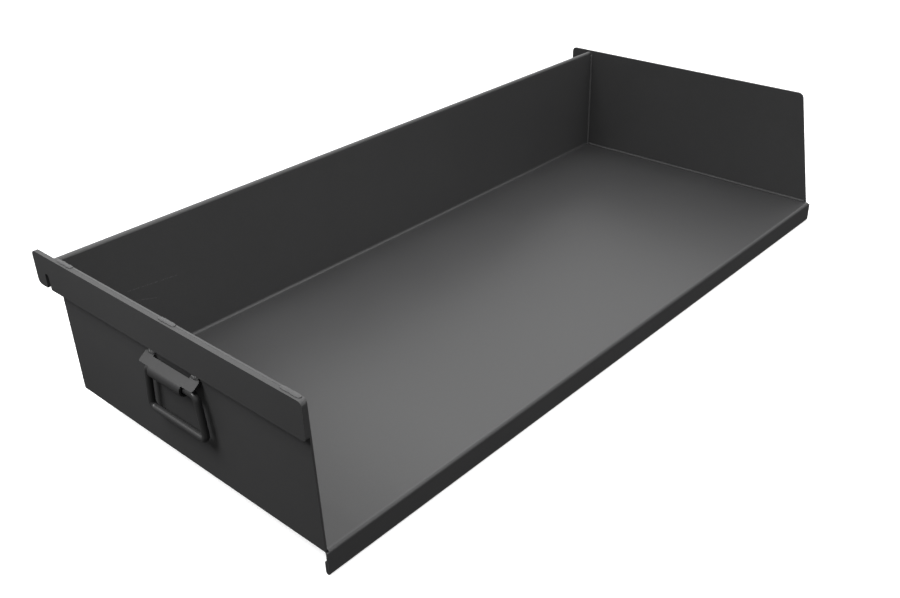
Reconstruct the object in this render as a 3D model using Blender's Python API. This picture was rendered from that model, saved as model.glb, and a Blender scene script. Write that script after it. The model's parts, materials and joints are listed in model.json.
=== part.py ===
"""Oil drain pan: a three-walled sheet-steel tray, open along one long side.

One folded sheet makes the floor, the rear wall and the down-turned front lip.
Two end plates close its ends; each carries a slotted ear behind the rear wall,
and the plate at the handle end is stiffened by a flat bar that forms its ear.
A drop handle swings in a formed bracket on that plate.  Weld beads join it all.

Sizes are in metres.  Shapes are drawn in pan coordinates (u, v, w): u runs from
the outer face of the near end plate towards the far end, v from the front of the
floor towards the rear wall, and w up from the upper side of the floor.
"""
import math

import bmesh
import bpy
from mathutils import Matrix, Vector

# Driving dimensions
LENGTH = 1.2192             # over the two end plates, 48 in
WIDTH = 0.508               # front of the floor to the back of the rear wall, 20 in
DEPTH = 0.2032              # floor to the top of the walls, 8 in
SHEET = 0.003               # 11 gauge sheet
GAP = 0.0003                # clearance between pieces that touch
SAME_POINT = 0.000001
EDGE = 0.0004               # rounding of cut sheet edges under the coating

# Folded sheet
LIP_PROUD = 0.002           # front of the lip ahead of the end plates' zero line
LIP_DROP = 0.0364           # floor surface down to the bottom of the lip
REAR_TOP = 0.201            # top of the rear wall, a little below the end plates
HEM = 0.018                 # height of the folded-back hems
REAR_HEM_GAP = 0.0032       # the rear wall's hem is an open one, folded outwards
FLOOR_BEND = 0.0045         # inside radius between floor and rear wall
LIP_BEND = 0.0025           # inside radius between floor and lip

# End plates
NEAR_FOOT_SET_BACK = 0.0012 # foot of the near plate's front edge
NEAR_TOP_SET_BACK = 0.007   # top of the near plate's front edge
FAR_FOOT_SET_BACK = 0.005
FAR_TOP_SET_BACK = 0.042    # the far plate's front edge leans well back
FAR_CORNER = 0.010          # top front corner of the far plate
PLATE_CORNER = 0.0025
FOOT_CORNER = 0.0008        # at the lip, where the corner is welded shut

# Ears and their hook slots
NEAR_EAR_TIP = 0.555        # v of the near ear's end
FAR_EAR_TIP = 0.552
EAR_HEIGHT = 0.0508
EAR_CORNER = 0.008
SLOT_CENTRE = 0.5265
SLOT_WIDTH = 0.009
SLOT_TOP = 0.1755
SLOT_MOUTH = 0.0015         # rounding of the slot's mouth

# Stiffening bar, 2 x 1/4 in flat
BAR_THICK = 0.00635
BAR_FRONT = 0.0045
BAR_CORNER = 0.006
BAR_EDGE = 0.0019           # the rolled bar's edges are well rounded

# Drop handle
PIVOT_U = -0.010            # axis of the handle's top bar
PIVOT_W = 0.1265
BAIL_V = 0.2485             # middle of the handle, slid a little to the front
ROD = 0.0095                # 3/8 in rod
BAIL_TOP = 0.100            # between the upper corners
BAIL_BOTTOM = 0.117         # between the lower corners
BAIL_DROP = 0.0615
BAIL_BEND = 0.008
ROD_ENDS_GAP = 0.003        # the rod's two ends face each other inside the bracket

# Handle bracket, bent from one blank
BRACKET_V = 0.2525          # middle of the bracket
BRACKET_LENGTH = 0.110
NOTCH_LENGTH = 0.074        # cut back between the two tabs that meet the plate
NOTCH_DEPTH = 0.0035
BARREL_LENGTH = 0.066
BARREL_OUTER = 0.0093
BRACKET_THICK = 0.003
BRACKET_SLOPE = 36          # degrees below level, from the plate to the barrel
BARREL_END = 292            # degrees about the pivot, 0 towards the plate
TAB_CORNER = 0.003

# Welds
SEAM_LEG = 0.0035           # inside corner seams
BAR_WELDS = ((0.012, 0.044), (0.234, 0.266), (0.462, 0.496))  # v spans on the bar's top
BAR_WELD_WIDTH = 0.0065
BAR_WELD_RISE = 0.0010
TAB_WELD_LEG = 0.0035
EAR_WELD_LEG = 0.003
BEAD_FULLNESS = 0.18        # swell of a bead's face, as a part of its leg
BEAD_STEPS = 4

# Centre of the whole pan's outline at its lowest level, in pan coordinates
OUTMOST_U = PIVOT_U - BARREL_OUTER
ORIGIN = Vector(((OUTMOST_U + LENGTH) / 2, (NEAR_EAR_TIP - LIP_PROUD) / 2, -LIP_DROP))

COLOUR = (0.047, 0.047, 0.048, 1.0)


def place(u, v, w):
    """Pan coordinates to the model's own frame."""
    return Vector((u, v, w)) - ORIGIN


def powder_coat(name, roughness):
    material = bpy.data.materials.new(name)
    material.use_nodes = True
    shader = material.node_tree.nodes["Principled BSDF"]
    shader.inputs["Base Color"].default_value = COLOUR
    shader.inputs["Roughness"].default_value = roughness
    shader.inputs["Metallic"].default_value = 0.0
    material.diffuse_color = COLOUR
    return material


def arc(centre, radius, start, end, steps):
    """Points on a circle, angles in degrees."""
    angles = [math.radians(start + (end - start) * i / steps) for i in range(steps + 1)]
    return [Vector((centre[0] + radius * math.cos(a), centre[1] + radius * math.sin(a)))
            for a in angles]


def fillet(before, corner, after, radius, steps=5):
    """Arc that rounds one corner of a polyline."""
    to_before = (before - corner).normalized()
    to_after = (after - corner).normalized()
    half = to_before.angle(to_after) / 2
    reach = radius / math.tan(half)
    centre = corner + (to_before + to_after).normalized() * (radius / math.sin(half))
    first = corner + to_before * reach - centre
    last = corner + to_after * reach - centre
    turn = first.angle_signed(last)
    return [centre + Matrix.Rotation(-turn * i / steps, 2) @ first for i in range(steps + 1)]


def rounded_path(corners, closed=False, steps=5):
    """Polyline through (x, y, radius) corners, with each radius as an arc."""
    points = []
    for i, (x, y, radius) in enumerate(corners):
        here = Vector((x, y))
        inner = closed or 0 < i < len(corners) - 1
        if radius == 0 or not inner:
            points.append(here)
            continue
        before = Vector(corners[i - 1][:2])
        after = Vector(corners[(i + 1) % len(corners)][:2])
        bend = fillet(before, here, after, radius, steps)
        meets_last = points and (bend[0] - points[-1]).length < SAME_POINT
        points.extend(bend[1:] if meets_last else bend)
    return points


def offset_path(points, distance):
    """The polyline moved sideways, to the left of its direction."""
    moved = []
    for i, point in enumerate(points):
        ahead = points[min(i + 1, len(points) - 1)] - point
        behind = point - points[max(i - 1, 0)]
        tangent = (ahead.normalized() + behind.normalized()).normalized()
        half_turn = math.cos(ahead.angle(behind) / 2) if ahead.length and behind.length else 1.0
        moved.append(point + Vector((-tangent.y, tangent.x)) * (distance / half_turn))
    return moved


def strip_outline(centre_line, thickness):
    """Closed outline of a sheet that follows a centre line."""
    left = offset_path(centre_line, thickness / 2)
    right = offset_path(centre_line, -thickness / 2)
    return left + right[::-1]


def finish(name, mesh, material, bevel=0.0, segments=2):
    """Object from a mesh, smooth across its round faces, with rounded edges."""
    for face in mesh.polygons:
        face.use_smooth = True
    mesh.set_sharp_from_angle(angle=math.radians(30))
    mesh.materials.append(material)
    piece = bpy.data.objects.new(name, mesh)
    bpy.context.collection.objects.link(piece)
    if bevel:
        rounding = piece.modifiers.new("edges", "BEVEL")
        rounding.width = bevel
        rounding.segments = segments
        rounding.limit_method = "ANGLE"
        rounding.angle_limit = math.radians(50)
        rounding.use_clamp_overlap = True
    return piece


def prism(name, outline, to_pan, start, end, material, bevel=0.0, segments=2):
    """Outline extruded from start to end; to_pan(x, y, depth) gives (u, v, w)."""
    build = bmesh.new()
    base = [build.verts.new(place(*to_pan(x, y, start))) for x, y in outline]
    face = build.faces.new(base)
    grown = bmesh.ops.extrude_face_region(build, geom=[face])
    shift = place(*to_pan(0, 0, end)) - place(*to_pan(0, 0, start))
    top = [part for part in grown["geom"] if isinstance(part, bmesh.types.BMVert)]
    bmesh.ops.translate(build, verts=top, vec=shift)
    bmesh.ops.recalc_face_normals(build, faces=build.faces)
    mesh = bpy.data.meshes.new(name)
    build.to_mesh(mesh)
    build.free()
    return finish(name, mesh, material, bevel, segments)


def sweep(name, frames, section, material):
    """Section (x, y) carried along frames of (point, x axis, y axis)."""
    build = bmesh.new()
    rings = []
    for point, x_axis, y_axis in frames:
        rings.append([build.verts.new(point + x_axis * x + y_axis * y) for x, y in section])
    count = len(section)
    for ring, following in zip(rings, rings[1:]):
        for j in range(count):
            k = (j + 1) % count
            build.faces.new((ring[j], ring[k], following[k], following[j]))
    build.faces.new(rings[0][::-1])
    build.faces.new(rings[-1])
    bmesh.ops.recalc_face_normals(build, faces=build.faces)
    mesh = bpy.data.meshes.new(name)
    build.to_mesh(mesh)
    build.free()
    return finish(name, mesh, material)


def across(x, y, depth):
    """Outline in (v, w), extruded along u."""
    return depth, x, y


def along(x, y, depth):
    """Outline in (u, w), extruded along v."""
    return x, depth, y


def as_tool(piece):
    """Mark a piece as a shape that only cuts or adds to another."""
    piece.hide_render = True
    piece.display_type = "WIRE"
    return piece


def combine(target, tool, operation):
    boolean = target.modifiers.new(operation.lower(), "BOOLEAN")
    boolean.operation = operation
    boolean.solver = "EXACT"
    boolean.object = as_tool(tool)


# ---------------------------------------------------------------- folded sheet

def sheet_centre_line():
    """Centre line of the folded sheet in (v, w), rear hem to front hem."""
    half = SHEET / 2
    rear = WIDTH - half
    rear_hem = rear + SHEET + REAR_HEM_GAP
    rear_fold = (rear_hem - rear) / 2
    highest = REAR_TOP - half
    front = -LIP_PROUD + half
    front_hem = front + SHEET + GAP
    front_fold = (front_hem - front) / 2
    lowest = -LIP_DROP + half
    return rounded_path([
        (rear_hem, REAR_TOP - HEM, 0),
        (rear_hem, highest, rear_fold),
        (rear, highest, rear_fold),
        (rear, -half, FLOOR_BEND + half),
        (front, -half, LIP_BEND + half),
        (front, lowest, front_fold),
        (front_hem, lowest, front_fold),
        (front_hem, -LIP_DROP + HEM, 0),
    ], steps=6)


def make_sheet(material):
    """Floor, rear wall and lip, folded from one blank.

    The lip runs under the end plates; the rest of the sheet stops inside them.
    """
    outline = strip_outline(sheet_centre_line(), SHEET)
    sheet = prism("pan_sheet", outline, across, 0, LENGTH, material)
    margin = 0.05
    inset = SHEET + GAP
    under_plates = -SHEET - GAP
    notch = [(-margin, under_plates), (WIDTH + margin, under_plates),
             (WIDTH + margin, DEPTH + margin), (-margin, DEPTH + margin)]
    ends = (("near_notch", -margin, inset), ("far_notch", LENGTH - inset, LENGTH + margin))
    for name, start, end in ends:
        combine(sheet, prism(name, notch, across, start, end, material), "DIFFERENCE")
    return sheet


# ------------------------------------------------------- end plates and the bar

def ear_outline(tip, bottom, top):
    """Rear part of a plate with an ear, from the slot round to the top of its tip."""
    left = SLOT_CENTRE - SLOT_WIDTH / 2
    right = SLOT_CENTRE + SLOT_WIDTH / 2
    slot = SLOT_WIDTH / 2 - SAME_POINT
    return [
        (left, bottom, SLOT_MOUTH),
        (left, SLOT_TOP, slot),
        (right, SLOT_TOP, slot),
        (right, bottom, SLOT_MOUTH),
        (tip, bottom, EAR_CORNER),
        (tip, top, EAR_CORNER),
    ]


def make_near_plate(material):
    outline = rounded_path([
        (NEAR_FOOT_SET_BACK, -SHEET, FOOT_CORNER),
        (WIDTH, -SHEET, PLATE_CORNER),
        (WIDTH, DEPTH, PLATE_CORNER),
        (NEAR_TOP_SET_BACK, DEPTH, BAR_CORNER),
    ], closed=True)
    return prism("end_plate_near", outline, across, 0, SHEET, material, EDGE)


def make_far_plate(material):
    """End plate with its own ear; its front edge leans back towards the top."""
    ear_bottom = DEPTH - EAR_HEIGHT
    outline = rounded_path([
        (FAR_FOOT_SET_BACK, -SHEET, FOOT_CORNER),
        (WIDTH, -SHEET, PLATE_CORNER),
        (WIDTH, ear_bottom, PLATE_CORNER),
        *ear_outline(FAR_EAR_TIP, ear_bottom, DEPTH),
        (FAR_TOP_SET_BACK, DEPTH, FAR_CORNER),
    ], closed=True)
    return prism("end_plate_far", outline, across, LENGTH - SHEET, LENGTH, material, EDGE)


def make_bar(material):
    """Flat bar on the near plate; behind the rear wall it becomes the near ear."""
    bottom = DEPTH - EAR_HEIGHT
    outline = rounded_path([
        (BAR_FRONT, bottom, BAR_CORNER),
        *ear_outline(NEAR_EAR_TIP, bottom, DEPTH),
        (BAR_FRONT, DEPTH, BAR_CORNER),
    ], closed=True)
    outer = -GAP - BAR_THICK
    return prism("stiffener_bar", outline, across, outer, -GAP, material, BAR_EDGE, 4)


# ---------------------------------------------------------------- drop handle

def bracket_section():
    """Centre line of the bracket in (u, w): down a slope, then round the barrel.

    Its first point is the tabs' top edge, its second the foot of the notch, and its
    third the shoulder where the slope runs into the barrel.
    """
    slope = math.radians(BRACKET_SLOPE)
    pivot = Vector((PIVOT_U, PIVOT_W))
    downhill = Vector((-math.cos(slope), -math.sin(slope)))
    upward = Vector((-math.sin(slope), math.cos(slope)))
    radius = BARREL_OUTER - BRACKET_THICK / 2
    shoulder = pivot + upward * radius
    inner_edge_u = -GAP - math.sin(slope) * BRACKET_THICK / 2
    top = shoulder - downhill * ((shoulder.x - inner_edge_u) / downhill.x)
    start = 90 + BRACKET_SLOPE
    barrel = arc(pivot, radius, start, BARREL_END, 16)
    return [top, top + downhill * NOTCH_DEPTH] + barrel


def make_bracket(material):
    """Sheet bent over the handle's top bar, with a tab at each end of its top edge.

    The blank is a grid: rows down the section, columns along the handle.  Rows
    above the notch have only the tabs, and rows on the barrel only its middle.
    """
    line = bracket_section()
    notch_row, shoulder_row = 1, 2
    faces_of_line = (offset_path(line, BRACKET_THICK / 2), offset_path(line, -BRACKET_THICK / 2))
    half = [BRACKET_LENGTH / 2, NOTCH_LENGTH / 2, BARREL_LENGTH / 2]
    columns = [-h for h in half] + half[::-1]
    build = bmesh.new()
    corners = {}

    def corner(side, row, column):
        key = (side, row, column)
        if key not in corners:
            point = faces_of_line[side][row]
            corners[key] = build.verts.new(place(point.x, BRACKET_V + columns[column], point.y))
        return corners[key]

    def is_sheet(row, column):
        if not (0 <= row < len(line) - 1 and 0 <= column < len(columns) - 1):
            return False
        if row < notch_row:
            return column in (0, len(columns) - 2)
        return row < shoulder_row or column == len(columns) // 2 - 1

    for row in range(len(line) - 1):
        for column in range(len(columns) - 1):
            if not is_sheet(row, column):
                continue
            ring = [(row, column), (row, column + 1), (row + 1, column + 1), (row + 1, column)]
            beyond = [(row - 1, column), (row, column + 1), (row + 1, column), (row, column - 1)]
            for side in (0, 1):
                build.faces.new([corner(side, r, c) for r, c in ring])
            for i, neighbour in enumerate(beyond):
                if not is_sheet(*neighbour):
                    first, second = ring[i], ring[(i + 1) % 4]
                    build.faces.new([corner(0, *first), corner(0, *second),
                                     corner(1, *second), corner(1, *first)])
    last = len(columns) - 1
    rounded = [(0, 0), (0, last), (shoulder_row, 0), (shoulder_row, last)]
    edges = [build.edges.get((corner(0, *key), corner(1, *key))) for key in rounded]
    bmesh.ops.bevel(build, geom=edges, offset=TAB_CORNER, segments=4, profile=0.5, affect="EDGES")
    bmesh.ops.recalc_face_normals(build, faces=build.faces)
    mesh = bpy.data.meshes.new("handle_bracket")
    build.to_mesh(mesh)
    build.free()
    return finish("handle_bracket", mesh, material)


def bail_frames():
    """Frames along the rod: out of one end of the barrel, round the loop, and back in."""
    half_gap = ROD_ENDS_GAP / 2
    path = rounded_path([
        (-half_gap, 0, 0),
        (-BAIL_TOP / 2, 0, BAIL_BEND),
        (-BAIL_BOTTOM / 2, -BAIL_DROP, BAIL_BEND),
        (BAIL_BOTTOM / 2, -BAIL_DROP, BAIL_BEND),
        (BAIL_TOP / 2, 0, BAIL_BEND),
        (half_gap, 0, 0),
    ], steps=8)
    frames = []
    for i, point in enumerate(path):
        tangent = (path[min(i + 1, len(path) - 1)] - path[max(i - 1, 0)]).normalized()
        centre = Vector((0, point.x, point.y))
        sideways = Vector((0, -tangent.y, tangent.x))
        frames.append((centre, Vector((1, 0, 0)), sideways))
    return frames


def make_bail(material):
    """Bent-rod handle; its origin is on the axis it swings about."""
    section = arc((0, 0), ROD / 2, 0, 360, 20)[:-1]
    bail = sweep("bail_handle", bail_frames(), section, material)
    bail.location = place(PIVOT_U, BAIL_V, PIVOT_W)
    return bail


# ---------------------------------------------------------------------- welds

def bead_section(leg):
    """Fillet bead in its corner: two legs and a slightly full face."""
    section = [(GAP, GAP)]
    for i in range(BEAD_STEPS + 1):
        t = i / BEAD_STEPS
        bulge = BEAD_FULLNESS * leg * math.sin(math.pi * t)
        section.append((GAP + leg * (1 - t) + bulge, GAP + leg * t + bulge))
    return section


def make_seam(name, plate_face, inward, material):
    """Seal weld along the inside of an end plate: over the floor, up the rear wall."""
    wall = WIDTH - SHEET
    front = FAR_FOOT_SET_BACK + SHEET
    top = REAR_TOP - 2 * SHEET
    path = rounded_path([(front, 0, 0), (wall, 0, FLOOR_BEND), (wall, top, 0)], steps=6)
    normals = [n - p for p, n in zip(path, offset_path(path, 1.0))]
    u_axis = Vector((inward, 0, 0))
    frames = [(place(plate_face, p.x, p.y), u_axis, Vector((0, n.x, n.y)))
              for p, n in zip(path, normals)]
    return sweep(name, frames, bead_section(SEAM_LEG), material)


def make_bar_weld(name, start, end, material):
    """Stitch weld in the joint between the bar's top and the near plate's top."""
    half = BAR_WELD_WIDTH / 2
    centre = Vector((-GAP / 2, DEPTH + GAP))
    bead = [(centre.x + half * math.cos(math.radians(a)),
             centre.y + BAR_WELD_RISE * math.sin(math.radians(a))) for a in range(0, 181, 20)]
    return prism(name, bead, along, start, end, material)


def make_tab_weld(name, start, end, material):
    """Bead in the groove between the near plate and the top edge of a bracket tab."""
    top, below = bracket_section()[:2]
    downhill = (below - top).normalized()
    upward = Vector((downhill.y, -downhill.x))
    lip = top + upward * (BRACKET_THICK / 2 + GAP) - downhill * GAP
    on_tab = lip + downhill * TAB_WELD_LEG
    groove = Vector((-GAP, lip.y - (BRACKET_THICK - GAP) * math.cos(math.radians(BRACKET_SLOPE))))
    on_plate = Vector((-GAP, lip.y + TAB_WELD_LEG))
    across_bead = on_plate - on_tab
    outward = Vector((-across_bead.y, across_bead.x)).normalized()
    swell = outward * BEAD_FULLNESS * TAB_WELD_LEG
    crown = [on_tab + across_bead * t + swell * math.sin(math.pi * t)
             for t in (i / BEAD_STEPS for i in range(1, BEAD_STEPS))]
    bead = [groove, lip, on_tab, *crown, on_plate]
    return prism(name, bead, along, start, end, material)


def make_ear_weld(material):
    """Upright fillet between the bar's inner face and the near plate's rear edge."""
    bottom = DEPTH - EAR_HEIGHT + SHEET
    top = REAR_TOP - HEM - SHEET
    frames = [(place(-GAP, WIDTH, w), Vector((1, 0, 0)), Vector((0, 1, 0)))
              for w in (bottom, top)]
    return sweep("weld_ear_near", frames, bead_section(EAR_WELD_LEG), material)


def make_welds(material):
    make_seam("weld_seam_near", SHEET, 1, material)
    make_seam("weld_seam_far", LENGTH - SHEET, -1, material)
    for place_name, (start, end) in zip(("front", "middle", "rear"), BAR_WELDS):
        make_bar_weld(f"weld_bar_{place_name}", start, end, material)
    for place_name, side in (("front", -1), ("rear", 1)):
        tip = BRACKET_V + side * (BRACKET_LENGTH / 2 - TAB_CORNER)
        root = BRACKET_V + side * (NOTCH_LENGTH / 2 + GAP)
        make_tab_weld(f"weld_tab_{place_name}", min(tip, root), max(tip, root), material)
    make_ear_weld(material)


def main():
    for leftover in list(bpy.data.objects):
        bpy.data.objects.remove(leftover, do_unlink=True)
    sheet_coat = powder_coat("sheet_coat", 0.42)
    bar_coat = powder_coat("bar_coat", 0.40)
    handle_coat = powder_coat("handle_coat", 0.38)
    weld_coat = powder_coat("weld_coat", 0.45)
    make_sheet(sheet_coat)
    make_near_plate(sheet_coat)
    make_far_plate(sheet_coat)
    make_bar(bar_coat)
    make_bracket(handle_coat)
    make_bail(handle_coat)
    make_welds(weld_coat)


main()
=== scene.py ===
import json
import math

import bmesh
import bpy
from mathutils import Matrix, Vector, noise


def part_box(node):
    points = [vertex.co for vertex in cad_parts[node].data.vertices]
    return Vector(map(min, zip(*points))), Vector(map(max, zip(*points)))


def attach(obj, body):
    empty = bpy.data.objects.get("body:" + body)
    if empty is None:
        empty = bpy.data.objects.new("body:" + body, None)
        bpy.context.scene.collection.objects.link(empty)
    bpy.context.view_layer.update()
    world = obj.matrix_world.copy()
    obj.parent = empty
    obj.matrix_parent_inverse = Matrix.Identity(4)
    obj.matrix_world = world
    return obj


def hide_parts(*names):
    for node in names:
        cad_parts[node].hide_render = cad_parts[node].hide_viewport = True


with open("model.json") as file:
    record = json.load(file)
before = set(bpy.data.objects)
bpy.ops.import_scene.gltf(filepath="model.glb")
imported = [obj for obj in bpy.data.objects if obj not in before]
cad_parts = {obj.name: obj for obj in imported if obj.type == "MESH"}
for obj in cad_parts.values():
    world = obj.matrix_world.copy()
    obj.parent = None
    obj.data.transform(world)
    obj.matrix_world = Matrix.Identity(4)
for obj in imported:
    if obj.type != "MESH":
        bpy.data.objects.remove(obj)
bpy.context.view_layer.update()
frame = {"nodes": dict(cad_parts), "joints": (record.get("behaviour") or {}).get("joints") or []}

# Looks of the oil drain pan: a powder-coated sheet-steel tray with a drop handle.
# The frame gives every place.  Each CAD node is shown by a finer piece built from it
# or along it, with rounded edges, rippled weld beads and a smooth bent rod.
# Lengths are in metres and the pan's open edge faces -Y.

# Steel, as in the frame
SHEET = 0.003
GAP = 0.0003                # kept between pieces that touch
FLOOR_BEND = 0.0045         # inside radius between floor and rear wall, at the seams
ROD = 0.0095                # diameter of the bail's rod
BAIL_TOP = 0.100            # between the bail's upper corners
BAIL_BEND = 0.008           # radius of the bail's corners
ROD_ENDS_GAP = 0.003        # between the rod's two ends

near_low, near_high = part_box("end_plate_near")
far_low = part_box("end_plate_far")[0]
bail_low, bail_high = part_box("bail_handle")

NEAR_FACE = near_low.x          # outer face of the near end plate
FLOOR_TOP = near_low.z + SHEET
PIVOT = Vector(frame["joints"][0]["pos_m"])
ALONG, ACROSS, UP = Vector((1, 0, 0)), Vector((0, 1, 0)), Vector((0, 0, 1))

# Mesh clean-up
WELD = 0.00001              # points this close become one
FLAT = math.radians(0.6)    # faces this nearly level with each other are one
CUT_EDGE = math.radians(50) # sharper edges get rounded
ROUNDING_STEPS = 3
EDGE_FACE = 0.00078         # narrower faces belong to a rounded edge
CREASE = math.radians(34)   # shading breaks at sharper edges
LARGE_FACES = 80            # how far the larger faces lead the shading, in percent
SHEET_ROUNDING = 0.0005
BRACKET_ROUNDING = 0.0004

# Powder coat
COAT = 0.053                # base grey, linear
CLOUD = 0.16                # size of the broadest unevenness
PATCH = 0.018
GRAIN = 0.0012
SPECK = 0.0022
PEEL = 0.0024               # size of the orange peel's lumps
PEEL_DEPTH = 0.00012
DUST = 0.010                # how much a speck adds to the grey


# ------------------------------------------------------------------ mesh helpers

def add_object(name, mesh, material):
    mesh.materials.append(material)
    piece = bpy.data.objects.new(name, mesh)
    bpy.context.scene.collection.objects.link(piece)
    return piece


def mesh_of(build, name):
    bmesh.ops.recalc_face_normals(build, faces=build.faces)
    mesh = bpy.data.meshes.new(name)
    build.to_mesh(mesh)
    build.free()
    for face in mesh.polygons:
        face.use_smooth = True
    return mesh


def show(piece, body, node):
    """Hand a piece to the frame: its body and the node it stands for."""
    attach(piece, body)
    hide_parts(node)
    return piece


def face_width(face):
    """Width of a long narrow face."""
    return 2 * face.calc_area() / face.calc_perimeter()


def refined(node, name, material, rounding=0.0):
    """The node's own shape with its faces rejoined and its cut edges rounded.

    Its narrow faces, which round the edges, are marked for the coat to be rubbed thin on, and to
    carry a painted highlight.
    """
    build = bmesh.new()
    build.from_mesh(frame["nodes"][node].data)
    bmesh.ops.remove_doubles(build, verts=build.verts, dist=WELD)
    bmesh.ops.dissolve_limit(build, angle_limit=FLAT, verts=build.verts, edges=build.edges)
    if rounding:
        cut = [edge for edge in build.edges if edge.calc_face_angle(0) > CUT_EDGE]
        bmesh.ops.bevel(build, geom=cut, offset=rounding, segments=ROUNDING_STEPS,
                        profile=0.5, affect="EDGES", clamp_overlap=True)
    # Mask of the narrow edge faces, which turn lighter: rubbed coat and a painted highlight.
    wear_and_highlight_layer = build.faces.layers.float.new("edge_wear_and_highlight")
    for face in build.faces:
        face[wear_and_highlight_layer] = 1.0 if face_width(face) < EDGE_FACE else 0.0
    piece = add_object(name, mesh_of(build, name), material)
    piece.data.set_sharp_from_angle(angle=CREASE)
    normals = piece.modifiers.new("shading", "WEIGHTED_NORMAL")
    normals.keep_sharp = True
    normals.mode = "FACE_AREA_WITH_ANGLE"
    normals.weight = LARGE_FACES
    return piece


def swept(name, rings, material):
    """Closed tube through rings of points, capped at both ends."""
    build = bmesh.new()
    loops = [[build.verts.new(point) for point in ring] for ring in rings]
    count = len(loops[0])
    for ring, following in zip(loops, loops[1:]):
        for j in range(count):
            k = (j + 1) % count
            build.faces.new((ring[j], ring[k], following[k], following[j]))
    build.faces.new(loops[0][::-1])
    build.faces.new(loops[-1])
    return add_object(name, mesh_of(build, name), material)


def fillet(before, corner, after, radius, steps):
    """Arc that rounds one corner of a polyline."""
    to_before = (before - corner).normalized()
    to_after = (after - corner).normalized()
    half = to_before.angle(to_after) / 2
    reach = radius / math.tan(half)
    centre = corner + (to_before + to_after).normalized() * (radius / math.sin(half))
    first = corner + to_before * reach - centre
    last = corner + to_after * reach - centre
    turn = first.angle_signed(last)
    return [centre + Matrix.Rotation(-turn * i / steps, 2) @ first for i in range(steps + 1)]


def walked(points, step):
    """The polyline again, with a point every step along it."""
    places = [points[0]]
    for start, end in zip(points, points[1:]):
        count = max(1, round((end - start).length / step))
        places.extend(start.lerp(end, (i + 1) / count) for i in range(count))
    return places


def sideways(path, i):
    """Direction square to a flat path at its point i, as the path lies across the pan."""
    tangent = (path[min(i + 1, len(path) - 1)] - path[max(i - 1, 0)]).normalized()
    return Vector((0, -tangent.y, tangent.x))


# --------------------------------------------------------------------- materials

class Shader:
    """Small helper that adds and links shader nodes of one material."""

    def __init__(self, name):
        self.material = bpy.data.materials.new(name)
        self.material.use_nodes = True
        self.tree = self.material.node_tree
        self.surface = self.tree.nodes["Principled BSDF"]

    def node(self, kind, **settings):
        made = self.tree.nodes.new(kind)
        for key, value in settings.items():
            setattr(made, key, value)
        return made

    def feed(self, socket, value):
        if isinstance(value, bpy.types.NodeSocket):
            self.tree.links.new(value, socket)
        else:
            socket.default_value = value

    def math(self, operation, *values):
        made = self.node("ShaderNodeMath", operation=operation)
        for socket, value in zip(made.inputs, values):
            self.feed(socket, value)
        return made.outputs[0]

    def vector(self, operation, *values):
        made = self.node("ShaderNodeVectorMath", operation=operation)
        for socket, value in zip(made.inputs, values):
            self.feed(socket, value)
        return made

    def noise(self, coords, size, detail=2.0, rough=0.5):
        """Noise between 0 and 1 whose lumps are about the given size."""
        made = self.node("ShaderNodeTexNoise")
        self.feed(made.inputs["Vector"], coords)
        made.inputs["Scale"].default_value = 1 / size
        made.inputs["Detail"].default_value = detail
        made.inputs["Roughness"].default_value = rough
        return made.outputs["Fac"]

    def ramp(self, value, low, high, out_low=0.0, out_high=1.0):
        made = self.node("ShaderNodeMapRange", interpolation_type="SMOOTHSTEP")
        settings = (value, low, high, out_low, out_high)
        for socket, setting in zip(made.inputs, settings):
            self.feed(socket, setting)
        return made.outputs[0]

    def scratch(self, coords, start, end, width):
        """1 along a straight scratch from start to end, 0 away from it."""
        along = Vector(end) - Vector(start)
        offset = self.vector("SUBTRACT", coords, start).outputs["Vector"]
        reach = self.vector("DOT_PRODUCT", offset, tuple(along / along.length_squared))
        share = self.math("MINIMUM", self.math("MAXIMUM", reach.outputs["Value"], 0.0), 1.0)
        nearest = self.node("ShaderNodeVectorMath", operation="SCALE")
        self.feed(nearest.inputs[0], tuple(along))
        self.feed(nearest.inputs["Scale"], share)
        gap = self.vector("DISTANCE", offset, nearest.outputs["Vector"]).outputs["Value"]
        return self.ramp(gap, width, width * 0.3)


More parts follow.
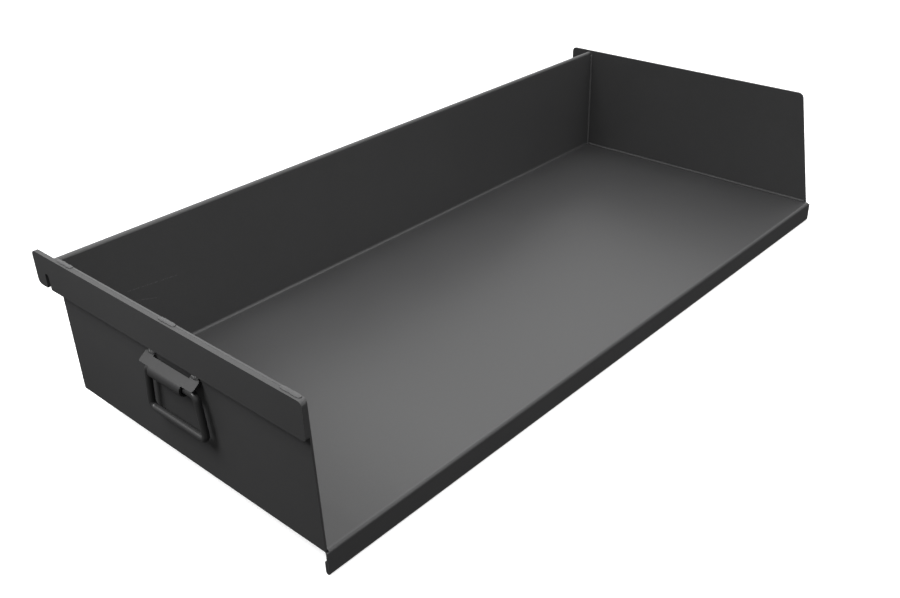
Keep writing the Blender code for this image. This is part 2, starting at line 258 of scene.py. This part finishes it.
def powder_coat(name, grey, rough, peel, scratches=()):
    """Charcoal powder coat: fine orange peel, mottled gloss, thin lighter edges that are part
    rubbed coat and part painted highlight.

    peel is the strength of the orange peel; each scratch is (start, end, width).
    """
    shader = Shader(name)
    coords = shader.node("ShaderNodeTexCoord").outputs["Object"]
    cloud = shader.noise(coords, CLOUD, 3.0)
    patch = shader.noise(coords, PATCH, 4.0, 0.6)
    grain = shader.noise(coords, GRAIN, 2.0)
    speck = shader.noise(coords, SPECK, 2.0)

    tone = shader.math("MULTIPLY", shader.ramp(cloud, 0.3, 0.7, 0.98, 1.02),
                       shader.ramp(patch, 0.25, 0.75, 0.985, 1.015))
    tone = shader.math("MULTIPLY", tone, shader.ramp(grain, 0.3, 0.7, 0.95, 1.05))
    dust = shader.ramp(speck, 0.70, 0.78, 0.0, DUST)
    edge = shader.node("ShaderNodeAttribute", attribute_name="edge_wear_and_highlight").outputs["Fac"]
    # Narrow edge faces turn lighter: part rubbed-thin coat, part painted highlight along the edges.
    worn_and_highlit = shader.math("MULTIPLY", edge, shader.ramp(patch, 0.40, 0.62, 0.15, 1.0))
    level = shader.math("ADD", shader.math("MULTIPLY", tone, grey), dust)
    level = shader.math("ADD", level, shader.math("MULTIPLY", worn_and_highlit, grey * 0.4))
    rubbed = 0.0
    for start, end, width in scratches:
        rubbed = shader.math("MAXIMUM", shader.scratch(coords, start, end, width), rubbed)
    if scratches:
        broken = shader.math("MULTIPLY", rubbed, shader.ramp(speck, 0.42, 0.6))
        level = shader.math("ADD", level, shader.math("MULTIPLY", broken, grey * 0.8))
    colour = shader.node("ShaderNodeCombineColor")
    for channel, share in zip(("Red", "Green", "Blue"), (1.0, 1.0, 1.015)):
        shader.feed(colour.inputs[channel], shader.math("MULTIPLY", level, share))
    shader.feed(shader.surface.inputs["Base Color"], colour.outputs["Color"])

    gloss = shader.math("ADD", shader.ramp(patch, 0.25, 0.75, rough - 0.01, rough + 0.01),
                        shader.ramp(cloud, 0.3, 0.7, -0.015, 0.015))
    shader.feed(shader.surface.inputs["Roughness"], gloss)
    shader.surface.inputs["Metallic"].default_value = 0.0
    shader.surface.inputs["IOR"].default_value = 1.5

    skin = shader.noise(coords, PEEL, 2.0, 0.45)
    bump = shader.node("ShaderNodeBump")
    bump.inputs["Strength"].default_value = peel
    bump.inputs["Distance"].default_value = PEEL_DEPTH
    shader.feed(bump.inputs["Height"], skin)
    shader.feed(shader.surface.inputs["Normal"], bump.outputs["Normal"])
    return shader.material


def studio_paint(name, grey, rough, glow):
    """White-lit matt surface: a grey that takes light and shadow, and a glow of its own."""
    shader = Shader(name)
    shader.surface.inputs["Base Color"].default_value = (grey, grey, grey, 1.0)
    shader.surface.inputs["Roughness"].default_value = rough
    shader.surface.inputs["Specular IOR Level"].default_value = 0.0
    shader.surface.inputs["Emission Color"].default_value = (1.0, 1.0, 1.0, 1.0)
    shader.surface.inputs["Emission Strength"].default_value = glow
    return shader.material


# ------------------------------------------------------------------ weld beads

RIPPLE = 0.0026             # spacing of a bead's ripples
STATION = 0.00052           # length of one slice of a bead
RIPPLE_HEIGHT = 0.26        # of a ripple, as a share of the bead's size
CRESCENT = 0.006            # width over which a ripple bends back by one spacing
RUN_OUT = 0.004             # length over which a bead's ends taper
END_SIZE = 0.35             # of a bead at its very end, as a share of its full size
WANDER = 0.011              # length of the slow unevenness in the ripples
SWELL = 0.005               # length of the unevenness in a bead's width
RAGGED = 0.3                # how uneven that width is
SEAM_SHARE, TAB_SHARE, EAR_SHARE = 0.82, 0.86, 0.85    # of the frame's solid, per leg


def bead(name, places, x_axes, y_axes, profile, material):
    """Weld bead: slices of a profile along a line, with crescent ripples and run-outs.

    profile gives (x, y, crown) points; crown is 1 on the free face and 0 on the
    faces against the steel, which stay plain.
    """
    rings = []
    travelled = 0.0
    total = sum((b - a).length for a, b in zip(places, places[1:]))
    for i, place in enumerate(places):
        if i:
            travelled += (place - places[i - 1]).length
        run_out = min(1.0, travelled / RUN_OUT, (total - travelled) / RUN_OUT)
        body = END_SIZE + (1 - END_SIZE) * math.sqrt(max(0.0, 1 - (1 - run_out) ** 2))
        wander = noise.noise(Vector((travelled / WANDER, 0.0, len(name))))
        swell = 1 + RAGGED * noise.noise(Vector((travelled / SWELL, 3.0, len(name))))
        ring = []
        for x, y, crown in profile:
            lag = (x - y) / CRESCENT
            phase = travelled / RIPPLE + lag * lag + 0.35 * wander
            ripple = 1 - abs(2 * (phase % 1.0) - 1) ** 1.6
            full = body * (1 + crown * (RIPPLE_HEIGHT * (ripple - 0.8) + 0.08 * wander))
            ring.append(place + x_axes[i] * (x * full * swell) + y_axes[i] * (y * full))
        rings.append(ring)
    return swept(name, rings, material)


def fillet_profile(leg, steps=7):
    """Corner bead: its root, then its free face from one leg to the other."""
    profile = [(GAP, GAP, 0.0)]
    for i in range(steps + 1):
        t = i / steps
        bulge = 0.16 * leg * math.sin(math.pi * t)
        crown = math.sin(math.pi * t) ** 0.5 if 0 < i < steps else 0.0
        profile.append((GAP + leg * (1 - t) + bulge, GAP + leg * t + bulge, crown))
    return profile


def crown_profile(width, rise, steps=8):
    """Flat-bottomed bead on a joint between two flush edges."""
    profile = []
    for i in range(steps + 1):
        a = math.pi * i / steps
        crown = math.sin(a) ** 0.5 if 0 < i < steps else 0.0
        profile.append((width / 2 * math.cos(a), rise * math.sin(a), crown))
    return profile


def make_seam(side, face, inward, material):
    """Seal weld inside an end plate: over the floor and up the rear wall."""
    low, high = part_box(f"weld_seam_{side}")
    leg = high.x - low.x
    wall = high.y + GAP
    line = [Vector((low.y, FLOOR_TOP)), Vector((wall, FLOOR_TOP)), Vector((wall, high.z))]
    path = [line[0]] + fillet(*line, FLOOR_BEND, 8) + [line[2]]
    path = walked(path, STATION)
    normals = [sideways(path, i) for i in range(len(path))]
    places = [Vector((face, p.x, p.y)) for p in path]
    seam = bead(f"seam_bead_{side}", places, [ALONG * inward] * len(path), normals,
                fillet_profile(leg * SEAM_SHARE), material)
    return show(seam, "pan", f"weld_seam_{side}")


def straight_bead(node, name, place, start, end, x_axis, y_axis, profile, material):
    """Bead along a straight line: place turns a distance along it into a point."""
    count = max(2, round((end - start) / STATION))
    places = [place(start + (end - start) * i / count) for i in range(count + 1)]
    made = bead(name, places, [x_axis] * len(places), [y_axis] * len(places), profile, material)
    return show(made, "pan", node)


def make_welds(material):
    make_seam("near", near_high.x, 1, material)
    make_seam("far", far_low.x, -1, material)
    for where in ("front", "middle", "rear"):
        node = f"weld_bar_{where}"
        low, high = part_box(node)
        middle = (low.x + high.x) / 2
        straight_bead(node, f"bar_bead_{where}", lambda y: Vector((middle, y, low.z)),
                      low.y, high.y, ALONG, UP,
                      crown_profile(high.x - low.x, high.z - low.z), material)
    for where in ("front", "rear"):
        node = f"weld_tab_{where}"
        low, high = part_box(node)
        size = min(high.x - low.x, high.z - low.z)
        top = high.z - size
        straight_bead(node, f"tab_bead_{where}", lambda y: Vector((NEAR_FACE, y, top)),
                      low.y, high.y, -ALONG, UP, fillet_profile(size * TAB_SHARE), material)
    low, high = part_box("weld_ear_near")
    straight_bead("weld_ear_near", "ear_bead_near",
                  lambda z: Vector((low.x - GAP, low.y - GAP, z)), low.z, high.z,
                  ALONG, ACROSS, fillet_profile((high.x - low.x) * EAR_SHARE), material)


# ----------------------------------------------------------------------- handle

CORNER_STEPS = 14
ROD_SIDES = 36
ROD_END_CHAMFER = 0.0006


def make_bail(material):
    """Bent rod: straight ends inside the barrel, two upper and two lower corners."""
    half_bottom = (bail_high.y - bail_low.y - ROD) / 2
    drop = PIVOT.z - (bail_low.z + ROD / 2)
    half_top = BAIL_TOP / 2
    half_gap = ROD_ENDS_GAP / 2
    corners = [Vector(c) for c in (
        (-half_gap, 0), (-half_top, 0), (-half_bottom, -drop),
        (half_bottom, -drop), (half_top, 0), (half_gap, 0))]
    path = [corners[0]]
    for before, here, after in zip(corners, corners[1:], corners[2:]):
        path.extend(fillet(before, here, after, BAIL_BEND, CORNER_STEPS))
    path.append(corners[-1])
    turns = [math.tau * j / ROD_SIDES for j in range(ROD_SIDES)]
    rings = []
    for i, point in enumerate(path):
        centre = PIVOT + Vector((0, point.x, point.y))
        side = sideways(path, i)
        rings.append([centre + (ALONG * math.cos(a) + side * math.sin(a)) * ROD / 2
                      for a in turns])
    bail = swept("bail_rod", rings, material)
    crisp = bail.modifiers.new("ends", "BEVEL")
    crisp.width = ROD_END_CHAMFER
    crisp.segments = 2
    crisp.limit_method = "ANGLE"
    crisp.angle_limit = math.radians(60)
    return show(bail, "bail", "bail_handle")


# ------------------------------------------------------------------- stage, light

STAGE_RADIUS = 9.0
STAGE_DROP = 0.0002                 # of the ground below the pan's lowest edge
GROUND_GREY, GROUND_GLOW = 0.86, 0.6

BACKDROP_SIDE = (0.60, 0.56, 0.57)  # direction of the brightest surroundings
BACKDROP_LIGHT = 1.45               # strength there
ROOM_LIGHT = 0.19                   # strength everywhere else
BACKDROP_REACH = (0.1, 0.95)        # cosines between which one turns into the other
HORIZON = (-0.08, 0.02)             # heights between which the light from below ends
BELOW_HORIZON = 0.3                 # share of the light left below

# name, aim, direction it comes from, distance, size, power, beam in degrees
LAMPS = (
    ("key", (NEAR_FACE + 0.05, 0.0, 0.12), (-0.55, 0.20, 0.81), 1.4, 0.7, 7.0, 110),
    ("top", (NEAR_FACE, -0.1, 0.0), (-0.22, -0.02, 0.98), 1.7, 0.12, 2.4, 150),
    ("overhead", (0.50, 0.0, 0.0), (0.10, -0.10, 0.99), 2.2, 1.8, 16, 180),
    ("front_fill", (0.0, 0.0, 0.1), (0.12, -0.88, 0.46), 2.4, 1.6, 19, 180),
)

CAMERA_PLACE = (-1.12160, -0.95889, 0.83350)
CAMERA_TURN = (60.5077, 1.4544, -48.0333)       # Euler angles in degrees
LENS, SENSOR = 40.476, 36.0                     # millimetres


def keep_off_pan(thing):
    """A stage piece that is seen, but neither lights the pan nor shows in its gloss."""
    thing.visible_glossy = False
    thing.visible_diffuse = False


def make_stage():
    """Round pale floor inside a white dome."""
    build = bmesh.new()
    bmesh.ops.create_circle(build, cap_ends=True, segments=96, radius=STAGE_RADIUS)
    paint = studio_paint("studio_floor", GROUND_GREY, 0.9, GROUND_GLOW)
    ground = add_object("studio_floor", mesh_of(build, "studio_floor"), paint)
    ground.location.z = -STAGE_DROP
    keep_off_pan(ground)
    build = bmesh.new()
    bmesh.ops.create_icosphere(build, subdivisions=5, radius=STAGE_RADIUS)
    paint = studio_paint("studio_backdrop", 0.0, 0.5, 1.0)
    dome = add_object("studio_backdrop", mesh_of(build, "studio_backdrop"), paint)
    dome.visible_shadow = False
    keep_off_pan(dome)


def soft_box(name, aim, direction, distance, size, power, spread):
    """Square area light that faces a point from a direction; spread is its beam in degrees."""
    lamp = bpy.data.lights.new(name, "AREA")
    lamp.shape = "SQUARE"
    lamp.size = size
    lamp.energy = power
    lamp.spread = math.radians(spread)
    light = bpy.data.objects.new(name, lamp)
    towards = Vector(direction).normalized()
    light.location = Vector(aim) + towards * distance
    light.rotation_euler = towards.to_track_quat("Z", "Y").to_euler()
    bpy.context.scene.collection.objects.link(light)


def map_range(nodes, links, value, source, target):
    """World node that turns the source range of a value into the target range."""
    made = nodes.new("ShaderNodeMapRange")
    links.new(value, made.inputs["Value"])
    for end, low_high in (("From", source), ("To", target)):
        for side, level in zip(("Min", "Max"), low_high):
            made.inputs[f"{end} {side}"].default_value = level
    return made


def make_world():
    """Studio surroundings: a bright backdrop behind the pan, dimmer behind the viewer."""
    world = bpy.data.worlds.new("studio")
    world.use_nodes = True
    nodes, links = world.node_tree.nodes, world.node_tree.links
    direction = nodes.new("ShaderNodeTexCoord").outputs["Generated"]
    facing = nodes.new("ShaderNodeVectorMath")
    facing.operation = "DOT_PRODUCT"
    links.new(direction, facing.inputs[0])
    facing.inputs[1].default_value = BACKDROP_SIDE
    backdrop = map_range(nodes, links, facing.outputs["Value"], BACKDROP_REACH,
                         (ROOM_LIGHT, BACKDROP_LIGHT))
    backdrop.interpolation_type = "SMOOTHSTEP"
    height = nodes.new("ShaderNodeSeparateXYZ")
    links.new(direction, height.inputs["Vector"])
    above = map_range(nodes, links, height.outputs["Z"], HORIZON, (BELOW_HORIZON, 1.0))
    strength = nodes.new("ShaderNodeMath")
    strength.operation = "MULTIPLY"
    links.new(backdrop.outputs["Result"], strength.inputs[0])
    links.new(above.outputs["Result"], strength.inputs[1])
    background = nodes["Background"]
    background.inputs["Color"].default_value = (1.0, 1.0, 1.0, 1.0)
    links.new(strength.outputs["Value"], background.inputs["Strength"])
    bpy.context.scene.world = world


def make_camera():
    lens = bpy.data.cameras.new("camera")
    lens.sensor_width = SENSOR
    lens.lens = LENS
    camera = bpy.data.objects.new("camera", lens)
    camera.location = CAMERA_PLACE
    camera.rotation_euler = tuple(math.radians(angle) for angle in CAMERA_TURN)
    bpy.context.scene.collection.objects.link(camera)
    bpy.context.scene.camera = camera


# ------------------------------------------------------------------------- build

def scratch(start, end, width):
    """Scuff on the rear wall, from (along, up) to (along, up) of the near inner corner."""
    wall = near_high.y - SHEET
    return tuple((NEAR_FACE + along, wall, FLOOR_TOP + up) for along, up in (start, end)) + (width,)


SCRATCHES = (
    scratch((0.092, 0.114), (0.172, 0.107), 0.0012),
    scratch((0.102, 0.095), (0.140, 0.084), 0.0010),
)


def main():
    sheet_coat = powder_coat("sheet_powder_coat", COAT, 0.42, 0.35, SCRATCHES)
    bar_coat = powder_coat("bar_powder_coat", COAT * 0.88, 0.56, 0.35)
    # Painted shade: the handle's coat is the sheet's grey made darker, so that the brightly lit
    # handle shows less light.
    handle_coat = powder_coat("handle_powder_coat_shaded", COAT * 0.66, 0.38, 0.22)
    weld_coat = powder_coat("weld_powder_coat", COAT * 1.1, 0.42, 0.2)

    for node, name, coat, slot, rounding in (
            ("pan_sheet", "folded_sheet", sheet_coat, "sheet_coat", SHEET_ROUNDING),
            ("end_plate_near", "near_plate", sheet_coat, "sheet_coat", 0.0),
            ("end_plate_far", "far_plate", sheet_coat, "sheet_coat", 0.0),
            ("stiffener_bar", "edge_bar", bar_coat, "bar_coat", 0.0),
            ("handle_bracket", "bent_bracket", handle_coat, "handle_coat", BRACKET_ROUNDING)):
        show(refined(node, name, coat, rounding), "pan", node)
    make_bail(handle_coat)
    make_welds(weld_coat)
    make_stage()
    make_world()
    for lamp in LAMPS:
        soft_box(*lamp)
    make_camera()
    bpy.context.scene.view_settings.view_transform = "Standard"


main()
